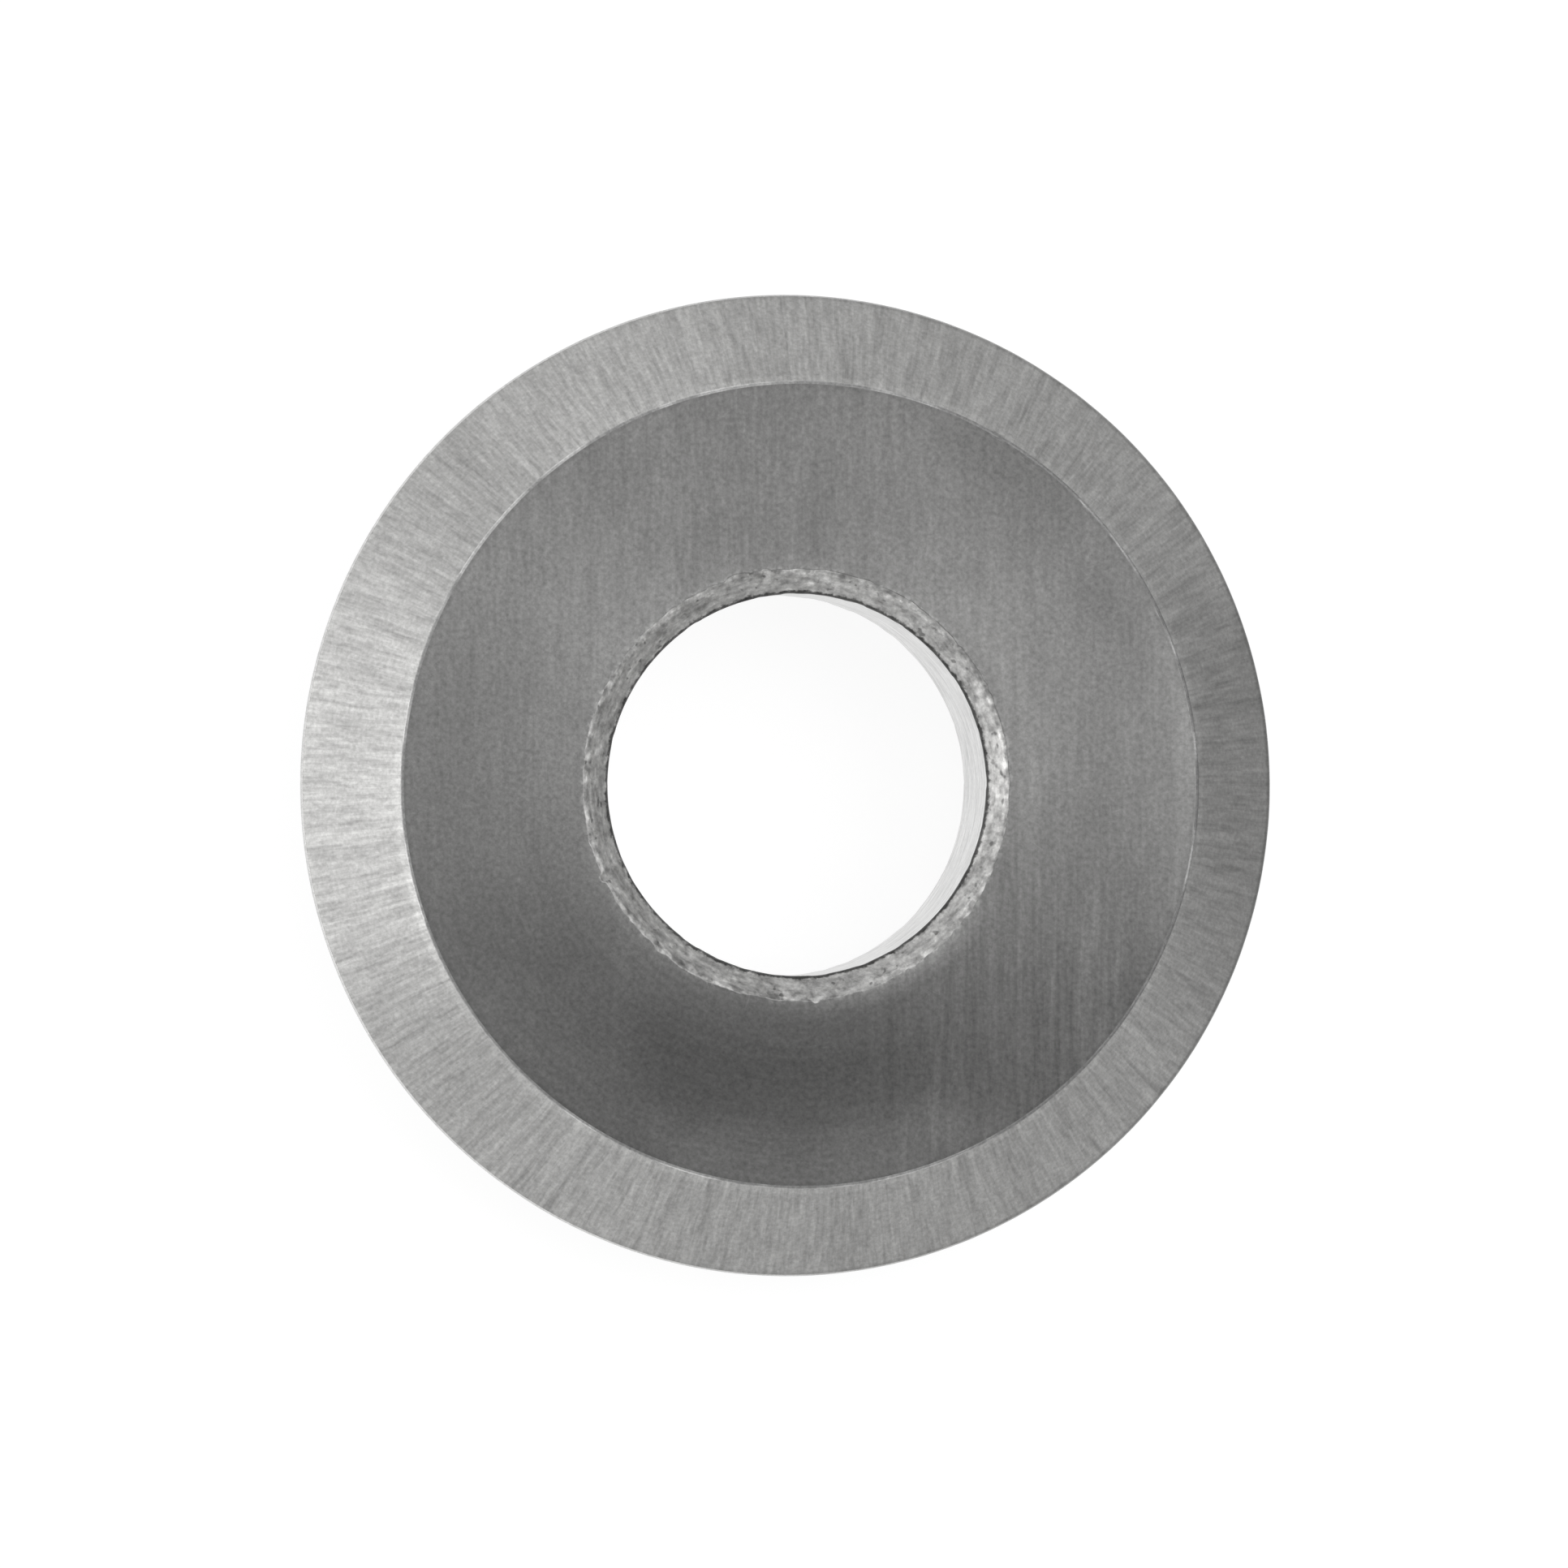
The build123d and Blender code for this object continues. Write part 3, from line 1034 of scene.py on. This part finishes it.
def side_painted_clouds(look, reach):
    """Painted light and shade on the side: soft lighter and darker parts, and painted light beside the
    lip.
    """
    nodes = look.nodes
    section = look.kit.section
    # painted light along X, most towards -X, and painted shade along Y, most towards -Y
    look.lighten(look.painted_light(*SIDE_PAINTED_LIGHT))
    outer = nodes.ramp(reach, low=(section.lip_reach + PAINTED_CLOUD_START) * MM, high=section.side_end * MM)
    # clouds of painted light and shade
    for angle, half_width, by_bore, by_shoulder in SIDE_PAINTED_CLOUDS:
        painted_cloud = look.sector(angle, half_width, PAINTED_CLOUD_SOFTNESS)
        look.tint(painted_cloud, change=nodes.blend(outer, by_bore, by_shoulder))
    shaded = nodes.times(look.band(0.0, *SHADED_BAND), look.sector(*SHADED_PART))
    look.tint(shaded, change=-0.15)
    # painted light beside the lip
    glow = nodes.fall(reach, low=section.lip_reach * MM, high=(section.lip_reach + LIP_PAINTED_GLOW_WIDTH) * MM)
    look.tint(glow, change=0.12)


def side_by_shoulder(look, reach):
    """A thin dark line along the shoulder, and painted light on one part beside it."""
    nodes = look.nodes
    end = look.kit.section.side_end
    look.tint(look.band(end, *SHOULDER_BAND), change=-0.1)
    # painted light beside the shoulder, towards +X
    painted_light_by_shoulder = nodes.ramp(reach, low=(end - SHOULDER_SIDE_PAINTED_LIGHT_WIDTH) * MM, high=end * MM)
    look.tint(nodes.times(painted_light_by_shoulder, look.sector(*SHOULDER_SIDE_PAINTED_LIGHT_PART)), change=0.16)


def side_by_lip(look):
    """Painted light and shade along the chamfer's lip, and the crumbled line beside it."""
    nodes = look.nodes
    place = look.chamfer_place()
    beside = nodes.fall(place, low=1.0, high=2.2)
    # painted light and shade beside the lip
    for angle, half_width, change in LIP_PAINTED_CLOUDS:
        painted_cloud = look.sector(angle, half_width, PAINTED_CLOUD_SOFTNESS)
        look.tint(nodes.times(painted_cloud, beside), change=change)
    crumbs = nodes.ramp(look.mottle(rate=11000.0, detail=1.0), low=0.46, high=0.64)
    look.tint(nodes.times(crumbs, nodes.fall(place, low=1.05, high=1.4)), change=0.5)


def sintered_chamfer(kit):
    """The granular skin left by the furnace, with a painted highlight along its lip and painted shade
    where it runs into the bore.
    """
    look = Finish("sintered_chamfer", kit, kit.colours.sintered_tone, roughness=0.46)
    nodes = look.nodes
    grain = look.pattern(kit.grain, Size=SINTERED_GRAIN)
    fine = look.pattern(kit.grain, Size=0.05 * MM)
    ridges = nodes.noise(look.pattern(kit.polar, Across=9.0, Outwards=15000.0))
    # painted light towards -X and +Y, painted shade towards +X and -Y
    look.lighten(look.painted_light(*SINTERED_PAINTED_LIGHT))
    for part in PALE_PARTS:
        look.tint(look.sector(*part), change=0.18)
    look.vary_tone(look.mottle(rate=3000.0, detail=2.0), contrast=0.9)
    look.vary_tone(grain, contrast=1.6)
    look.vary_tone(ridges, contrast=1.2)
    look.vary_tone(fine, contrast=0.6)
    # painted shade in the pits
    look.tint(sintered_pit_shade(look), change=-0.55)

    place = look.chamfer_place()
    # painted shade where the chamfer runs into the bore
    bore_edge_painted_shade = nodes.fall(nodes.plus(place, nodes.swing(grain, LIP_STRAY)), low=0.06, high=0.16)
    look.tint(bore_edge_painted_shade, change=-0.78)
    # painted highlight along the lip
    lip_painted_highlight = nodes.ramp(nodes.plus(place, nodes.swing(fine, LIP_STRAY)), low=0.78, high=0.92)
    look.tint(lip_painted_highlight, change=painted_lip_highlight_tone(look))

    look.vary_roughness(grain, amount=0.2)
    look.roughen(lip_painted_highlight, amount=0.12)
    look.bump(grain, depth=4 * MICRON)
    look.bump(ridges, depth=2 * MICRON)
    look.bump(fine, depth=0.8 * MICRON)
    return look.done()


def sintered_pit_shade(look):
    """Painted shade in small pits between the grains of the sintered skin."""
    nodes = look.nodes
    place = nodes.counted(nodes.mapping(look.place, Rotation=GRAIN_TURN), SINTERED_GRAIN)
    pits = nodes.noise(nodes.vector("ADD", place, PIT_START), scale=0.8, detail=1.0)
    return nodes.fall(pits, low=0.24, high=0.34)


def painted_lip_highlight_tone(look):
    """How much lighter the painted highlight along the lip is than the chamfer, bead by bead and round
    the bore.
    """
    nodes = look.nodes
    beads = nodes.ramp(look.mottle(rate=5200.0, detail=2.0), low=0.34, high=0.66, start=-0.15, end=0.5)
    dimmed_highlight = nodes.times(look.sector(*LIP_DIMMER_HIGHLIGHT_PART), LIP_HIGHLIGHT_DIMMING)
    return nodes.plus(beads, nodes.minus(look.painted_light(*LIP_LINE_PAINTED_LIGHT), dimmed_highlight))


def ground_bore(kit):
    """The bore's bright wall, with grinding lines that run round it."""
    look = Finish("ground_bore", kit, kit.colours.bore_tone, roughness=0.3)
    polar = look.pattern(kit.polar, Across=4.5, Outwards=0.0, Upwards=11000.0)
    lines = look.nodes.noise(polar, detail=4.0, roughness=0.65)
    look.vary_tone(lines, contrast=1.1)
    look.vary_tone(look.pattern(kit.grain, Size=0.07 * MM), contrast=0.5)
    look.vary_tone(look.mottle(rate=2600.0, detail=2.0), contrast=0.22)
    look.vary_roughness(lines, amount=-0.15)
    look.bump(lines, depth=1.1 * MICRON)
    return look.done()


def worn_shoulder(kit):
    """The shoulders, ground through in some places and left sharp in others, with painted shade towards
    +X and painted light towards -X.
    """
    look = Finish("worn_shoulder", kit, kit.colours.honed_tone, roughness=0.44)
    grain = look.pattern(kit.grain, Size=0.06 * MM)
    sharp = look.nodes.ramp(look.mottle(rate=900.0, detail=3.0), low=0.46, high=0.62)
    # painted shade towards +X, painted light towards -X
    look.lighten(look.painted_light(*SHOULDER_PAINTED_LIGHT))
    look.vary_tone(sharp, contrast=0.42, middle=0.75)
    look.vary_tone(grain, contrast=1.2)
    look.vary_roughness(sharp, amount=-0.12)
    look.bump(grain, depth=0.8 * MICRON)
    return look.done()


def honed_tip(kit):
    """The honed tip, smoother than the ground faces, with painted light towards -X and painted shade
    towards +X.
    """
    look = Finish("honed_tip", kit, kit.colours.honed_tone, roughness=0.26)
    polar = look.pattern(kit.polar, Across=120.0, Outwards=3000.0, Upwards=3000.0)
    lines = look.pattern(kit.lines, polar, Deep_Lines=0.3)
    grain = look.pattern(kit.grain, Size=0.05 * MM)
    # painted light towards -X, painted shade towards +X
    look.lighten(look.painted_light(*TIP_PAINTED_LIGHT))
    look.vary_tone(lines, contrast=0.7)
    look.vary_tone(grain, contrast=0.4)
    look.vary_roughness(grain, amount=0.15)
    look.bump(lines, depth=0.6 * MICRON)
    return look.done()


MAKE_FINISH = {
    "bevel": ground_bevel,
    "side": ground_side,
    "sintered": sintered_chamfer,
    "bore": ground_bore,
    "shoulder": worn_shoulder,
    "tip": honed_tip,
}


# The wheel

def mark_zones(bm, section):
    """Gives every face the finish of the part of the section that it was turned from."""
    zones = list(MAKE_FINISH)
    for face in bm.faces:
        middle = face.calc_center_median()
        face.material_index = zones.index(section.zone(hypot(middle.x, middle.y), middle.z))
        face.smooth = True


class OBJECT_OT_add_scoring_wheel(bpy.types.Operator):
    """Add the scoring wheel with its finishes, in place of its CAD node"""

    bl_idname = "object.add_scoring_wheel"
    bl_label = "Add Scoring Wheel"

    def execute(self, context):
        shape = context.scene.wheel_shape
        section = Section(shape)
        kit = FinishKit(section, context.scene.wheel_finish)
        mesh = bpy.data.meshes.new("scoring_wheel")
        for make_finish in MAKE_FINISH.values():
            mesh.materials.append(make_finish(kit))

        bm = bmesh.new()
        section.wire(bm)
        turn_wheel(bm, shape.steps)
        mark_zones(bm, section)
        Weathering(section, shape).apply(bm)
        bmesh.ops.recalc_face_normals(bm, faces=bm.faces[:])
        bmesh.ops.scale(bm, vec=(MM, MM, MM), verts=bm.verts[:])
        bm.to_mesh(mesh)
        bm.free()

        wheel = bpy.data.objects.new("scoring_wheel", mesh)
        context.collection.objects.link(wheel)
        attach(wheel, "root")
        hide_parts(CAD_NODE)
        return {"FINISHED"}


# The studio

WHITE = (1.0, 1.0, 1.0, 1.0)
SENSOR_WIDTH = 36.0  # mm
CLIP_START = 10 * MM
FLOOR_SEGMENTS = 96
FLOOR_GAP = 0.002 * MM  # keeps the wheel's lower side off the floor's own plane
FLOOR_GLOW = 1.18
FLOOR_GLOW_SHARE = 0.75
HORIZON_LIGHT = 1.15
ZENITH_LIGHT = 0.35
HORIZON_HEIGHT = 0.8  # sine of the elevation up to which the horizon's light reaches
HORIZON_LEAN = (-0.5, 0.1, 0.0)  # how much brighter the horizon is along +X, +Y and +Z

# Name, azimuth from +X, elevation, distance in mm, width, height in mm, radiance
SOFT_BOXES = (
    ("Left Soft Box", radians(180), radians(15), 200.0, 230.0, 90.0, 1.35),
    ("Back Soft Box", radians(95), radians(16), 220.0, 260.0, 110.0, 0.55),
    ("Front Soft Box", radians(-90), radians(14), 220.0, 300.0, 90.0, 0.4),
    ("Right Soft Box", radians(8), radians(50), 240.0, 200.0, 150.0, 1.55),
    ("Top Soft Box", radians(90), radians(66), 260.0, 400.0, 210.0, 0.55),
)


def add_camera(studio):
    """Places the camera where the photograph was taken from, and frames it alike."""
    turn, tilt = studio.camera_turn, studio.camera_tilt
    towards = Vector((-sin(tilt) * cos(turn), -sin(tilt) * sin(turn), cos(tilt)))
    level = Vector((0, 0, 1)).rotation_difference(towards).to_matrix()
    right, up = level.col[0], level.col[1]
    per_pixel = MM / studio.pixels_per_mm
    across = (PHOTO_SIDE / 2 - studio.centre_pixel[0]) * per_pixel
    down = (PHOTO_SIDE / 2 - studio.centre_pixel[1]) * per_pixel

    camera = bpy.data.cameras.new("Camera")
    camera.sensor_width = SENSOR_WIDTH
    camera.lens = SENSOR_WIDTH * studio.camera_distance / (PHOTO_SIDE * per_pixel)
    camera.clip_start = CLIP_START
    holder = bpy.data.objects.new("Camera", camera)
    holder.matrix_world = level.to_4x4()
    holder.location = towards * studio.camera_distance + right * across - up * down
    return holder


def add_soft_box(name, azimuth, elevation, distance, width, height, radiance):
    """A rectangular lamp that faces the wheel's centre and isn't seen itself."""
    lamp = bpy.data.lights.new(name, "AREA")
    lamp.shape = "RECTANGLE"
    lamp.size = width * MM
    lamp.size_y = height * MM
    lamp.energy = radiance * pi * lamp.size * lamp.size_y
    away = Vector((cos(azimuth) * cos(elevation), sin(azimuth) * cos(elevation), sin(elevation)))
    holder = bpy.data.objects.new(name, lamp)
    holder.location = away * distance * MM
    holder.rotation_euler = away.to_track_quat("Z", "Y").to_euler()
    holder.visible_camera = False
    return holder


def sees_background(nodes):
    """1 for the rays that may see the white background, and 0 for those that light the scene."""
    path = nodes.add("ShaderNodeLightPath").outputs
    either = nodes.math("MAXIMUM", path["Is Camera Ray"], path["Is Glossy Ray"])
    return nodes.math("MAXIMUM", either, path["Is Transmission Ray"])


def floor_paper(tone):
    """Pale paper that reads as white to the camera, and still takes the wheel's shadow."""
    material = bpy.data.materials.new("floor_paper")
    material.use_nodes = True
    tree = material.node_tree
    tree.nodes.remove(tree.nodes["Principled BSDF"])
    nodes = Nodes(tree)
    paper = nodes.feed_named(nodes.add("ShaderNodeBsdfDiffuse"), Color=(*tone, 1.0))[0]
    glow = nodes.feed_named(nodes.add("ShaderNodeEmission"), Strength=FLOOR_GLOW)[0]
    share = nodes.times(sees_background(nodes), FLOOR_GLOW_SHARE)
    both = nodes.add("ShaderNodeMixShader")
    nodes.feed_first(both, (share, paper, glow))
    nodes.feed_named(tree.nodes["Material Output"], Surface=both.outputs[0])
    arrange(tree)
    return material


def add_floor(studio):
    """A plain round floor just under the wheel."""
    mesh = bpy.data.meshes.new("floor")
    bm = bmesh.new()
    bmesh.ops.create_circle(bm, cap_ends=True, segments=FLOOR_SEGMENTS, radius=studio.floor_radius)
    bmesh.ops.translate(bm, vec=(0, 0, NODE_LOW.z - FLOOR_GAP), verts=bm.verts[:])
    bm.to_mesh(mesh)
    bm.free()
    mesh.materials.append(floor_paper(studio.floor_tone))
    return bpy.data.objects.new("floor", mesh)


def add_world():
    """An even pale surround, white at the horizon and greyer overhead."""
    world = bpy.data.worlds.new("studio")
    world.use_nodes = True
    nodes = Nodes(world.node_tree)
    direction = nodes.add("ShaderNodeTexCoord").outputs["Generated"]
    low = nodes.fall(nodes.split(direction)[2], low=0.0, high=HORIZON_HEIGHT)
    leaning = nodes.times(nodes.vector("DOT_PRODUCT", direction, HORIZON_LEAN), low)
    strength = nodes.plus(nodes.blend(low, ZENITH_LIGHT, HORIZON_LIGHT), leaning)
    nodes.feed_named(world.node_tree.nodes["Background"], Color=WHITE, Strength=strength)
    arrange(world.node_tree)
    return world


class SCENE_OT_set_wheel_studio(bpy.types.Operator):
    """Set up the plain floor, the soft light and the camera"""

    bl_idname = "scene.set_wheel_studio"
    bl_label = "Set Up Studio"

    def execute(self, context):
        studio = context.scene.wheel_studio
        floor = add_floor(studio)
        camera = add_camera(studio)
        lamps = [add_soft_box(*box) for box in SOFT_BOXES]
        for thing in (floor, camera, *lamps):
            context.collection.objects.link(thing)
        context.scene.camera = camera
        context.scene.world = add_world()
        context.scene.view_settings.view_transform = "Standard"
        return {"FINISHED"}


# The panel

class VIEW3D_PT_scoring_wheel(bpy.types.Panel):
    """Sizes, colours and steps of the scoring wheel"""

    bl_idname = "VIEW3D_PT_scoring_wheel"
    bl_label = "Scoring Wheel"
    bl_space_type = "VIEW_3D"
    bl_region_type = "UI"
    bl_category = "Scoring Wheel"

    def draw(self, context):
        scene = context.scene
        for heading, group, operator in (
            ("Shape", scene.wheel_shape, None),
            ("Finish", scene.wheel_finish, OBJECT_OT_add_scoring_wheel),
            ("Studio", scene.wheel_studio, SCENE_OT_set_wheel_studio),
        ):
            box = self.layout.box()
            box.label(text=heading)
            for name in group.bl_rna.properties.keys():
                if name not in ("name", "rna_type"):
                    box.prop(group, name)
            if operator:
                box.operator(operator.bl_idname)


CLASSES = (
    WheelShape,
    WheelFinish,
    WheelStudio,
    OBJECT_OT_add_scoring_wheel,
    SCENE_OT_set_wheel_studio,
    VIEW3D_PT_scoring_wheel,
)


def register():
    for cls in CLASSES:
        bpy.utils.register_class(cls)
    bpy.types.Scene.wheel_shape = PointerProperty(type=WheelShape)
    bpy.types.Scene.wheel_finish = PointerProperty(type=WheelFinish)
    bpy.types.Scene.wheel_studio = PointerProperty(type=WheelStudio)


def unregister():
    del bpy.types.Scene.wheel_studio
    del bpy.types.Scene.wheel_finish
    del bpy.types.Scene.wheel_shape
    for cls in reversed(CLASSES):
        bpy.utils.unregister_class(cls)


def main():
    register()
    bpy.ops.object.add_scoring_wheel()
    bpy.ops.scene.set_wheel_studio()


if __name__ == "__main__":
    main()
